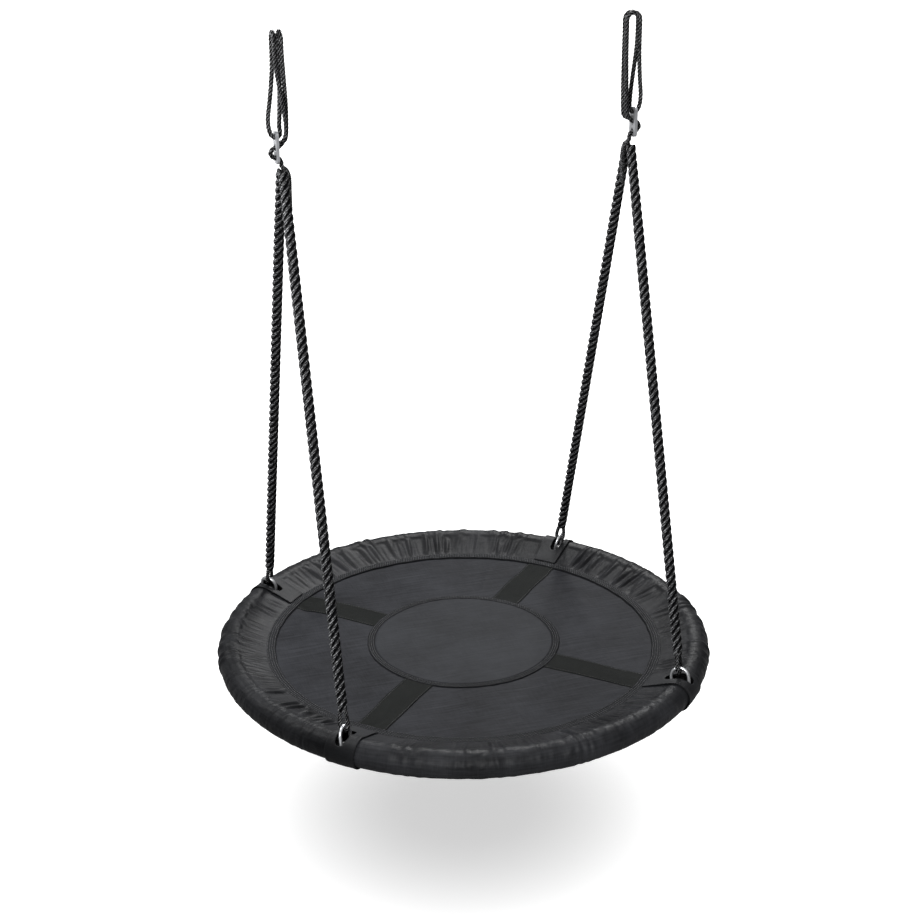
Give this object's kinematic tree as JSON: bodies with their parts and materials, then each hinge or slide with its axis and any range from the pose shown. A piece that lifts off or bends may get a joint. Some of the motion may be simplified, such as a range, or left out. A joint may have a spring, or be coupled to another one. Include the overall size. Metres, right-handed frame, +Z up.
{
  "type": "round nest swing",
  "caption": "Round padded nest swing with a stretched fabric mat, hung from paired laid ropes with slider plates and hanging loops.",
  "frame": {"origin": "centre of the mat's top face, on the ring's centre plane", "axes": "+Z up, +X from the left hanger to the right hanger, -Y is the front"},
  "size_m": [0.9998, 0.9998, 1.2795],
  "materials": {
    "cover_fabric": "coated woven polyester, matt with soft folds",
    "mat_fabric": "coarse woven mesh fabric, charcoal",
    "disc_fabric": "coarse woven mesh fabric, charcoal",
    "cross_webbing": "flat woven webbing",
    "binding_webbing": "sewn ribbed binding tape",
    "rim_strap": "folded coated fabric strap",
    "foam": "closed-cell foam",
    "tube_steel": "black powder coat",
    "zinc_fastener": "zinc plated",
    "zinc_link": "zinc plated wire",
    "zinc_plate": "zinc plated plate",
    "thick_rope": "laid multifilament rope",
    "thin_rope": "laid multifilament rope"
  },
  "bodies": {
    "root": {"left_loop_crowns": "thin_rope", "right_loop_crowns": "thin_rope"},
    "left_shoulders": {"left_loop_shoulders": "thin_rope"},
    "left_strands": {"left_loop_a_strands": "thin_rope", "left_loop_b_strands": "thin_rope"},
    "left_adjuster": {"left_adjuster_plate": "zinc_plate", "left_lower_bight": "thin_rope", "left_upper_bight": "thin_rope"},
    "left_ropes": {"left_front_rope": "thick_rope", "left_back_rope": "thick_rope", "left_front_link": "zinc_link", "left_back_link": "zinc_link", "left_pull_rope": "thin_rope"},
    "right_shoulders": {"right_loop_shoulders": "thin_rope"},
    "right_strands": {"right_loop_a_strands": "thin_rope", "right_loop_b_strands": "thin_rope"},
    "right_adjuster": {"right_adjuster_plate": "zinc_plate", "right_lower_bight": "thin_rope", "right_upper_bight": "thin_rope"},
    "right_ropes": {"right_front_rope": "thick_rope", "right_back_rope": "thick_rope", "right_front_link": "zinc_link", "right_back_link": "zinc_link", "right_pull_rope": "thin_rope"},
    "seat": {"rim_tube_front_left": "tube_steel", "rim_tube_front_right": "tube_steel", "rim_tube_back_right": "tube_steel", "rim_tube_back_left": "tube_steel", "rim_tube_screws": "zinc_fastener", "rim_tube_nuts": "zinc_fastener", "foam_front_left_a": "foam", "foam_front_left_b": "foam", "foam_front_right_a": "foam", "foam_front_right_b": "foam", "foam_back_right_a": "foam", "foam_back_right_b": "foam", "foam_back_left_a": "foam", "foam_back_left_b": "foam", "rim_cover_front": "cover_fabric", "rim_cover_right": "cover_fabric", "rim_cover_back": "cover_fabric", "rim_cover_left": "cover_fabric", "rim_binding": "binding_webbing", "mat_panel_front": "mat_fabric", "mat_panel_right": "mat_fabric", "mat_panel_back": "mat_fabric", "mat_panel_left": "mat_fabric", "cross_strap_front_left": "cross_webbing", "cross_strap_front_right": "cross_webbing", "cross_strap_back_right": "cross_webbing", "cross_strap_back_left": "cross_webbing", "centre_disc": "disc_fabric", "centre_binding": "binding_webbing", "rope_strap_front_left": "rim_strap", "rope_strap_front_right": "rim_strap", "rope_strap_back_right": "rim_strap", "rope_strap_back_left": "rim_strap"}
  },
  "joints": [
    {"name": "left_swing", "type": "hinge", "parent": "root", "child": "left_shoulders", "pos_m": [-0.33517, 0, 1.2325], "axis": [1, 0, 0], "range_deg": [-40, 40]},
    {"name": "left_sway", "type": "hinge", "parent": "left_shoulders", "child": "left_strands", "pos_m": [-0.33517, 0, 1.2105], "axis": [0, 1, 0], "range_deg": [-12, 12]},
    {"name": "left_height", "type": "slide", "parent": "left_strands", "child": "left_adjuster", "axis": [0, 0, 1], "range_m": [0, 0.05], "deforming": ["left_loop_a_strands", "left_loop_b_strands"]},
    {"name": "left_pull", "type": "slide", "parent": "left_adjuster", "child": "left_ropes", "axis": [0, 0, 1], "range_m": [-0.2, 0], "deforming": ["left_pull_rope"]},
    {"name": "right_swing", "type": "hinge", "parent": "root", "child": "right_shoulders", "pos_m": [0.33517, 0, 1.2325], "axis": [1, 0, 0], "range_deg": [-40, 40]},
    {"name": "right_sway", "type": "hinge", "parent": "right_shoulders", "child": "right_strands", "pos_m": [0.33517, 0, 1.2105], "axis": [0, 1, 0], "range_deg": [-12, 12]},
    {"name": "right_height", "type": "slide", "parent": "right_strands", "child": "right_adjuster", "axis": [0, 0, 1], "range_m": [0, 0.05], "deforming": ["right_loop_a_strands", "right_loop_b_strands"]},
    {"name": "right_pull", "type": "slide", "parent": "right_adjuster", "child": "right_ropes", "axis": [0, 0, 1], "range_m": [-0.2, 0], "deforming": ["right_pull_rope"]},
    {"name": "seat_level", "type": "hinge", "parent": "left_ropes", "child": "seat", "pos_m": [-0.33517, 0, 0], "axis": [0, 1, 0], "range_deg": [-12, 12]}
  ],
  "couplings": [
    {"joint": "right_swing", "follows": "left_swing", "ratio": 1},
    {"joint": "right_sway", "follows": "left_sway", "ratio": 1},
    {"joint": "seat_level", "follows": "left_sway", "ratio": -1},
    {"joint": "right_height", "follows": "left_height", "ratio": 1},
    {"joint": "left_pull", "follows": "left_height", "ratio": -4},
    {"joint": "right_pull", "follows": "left_height", "ratio": -4}
  ]
}
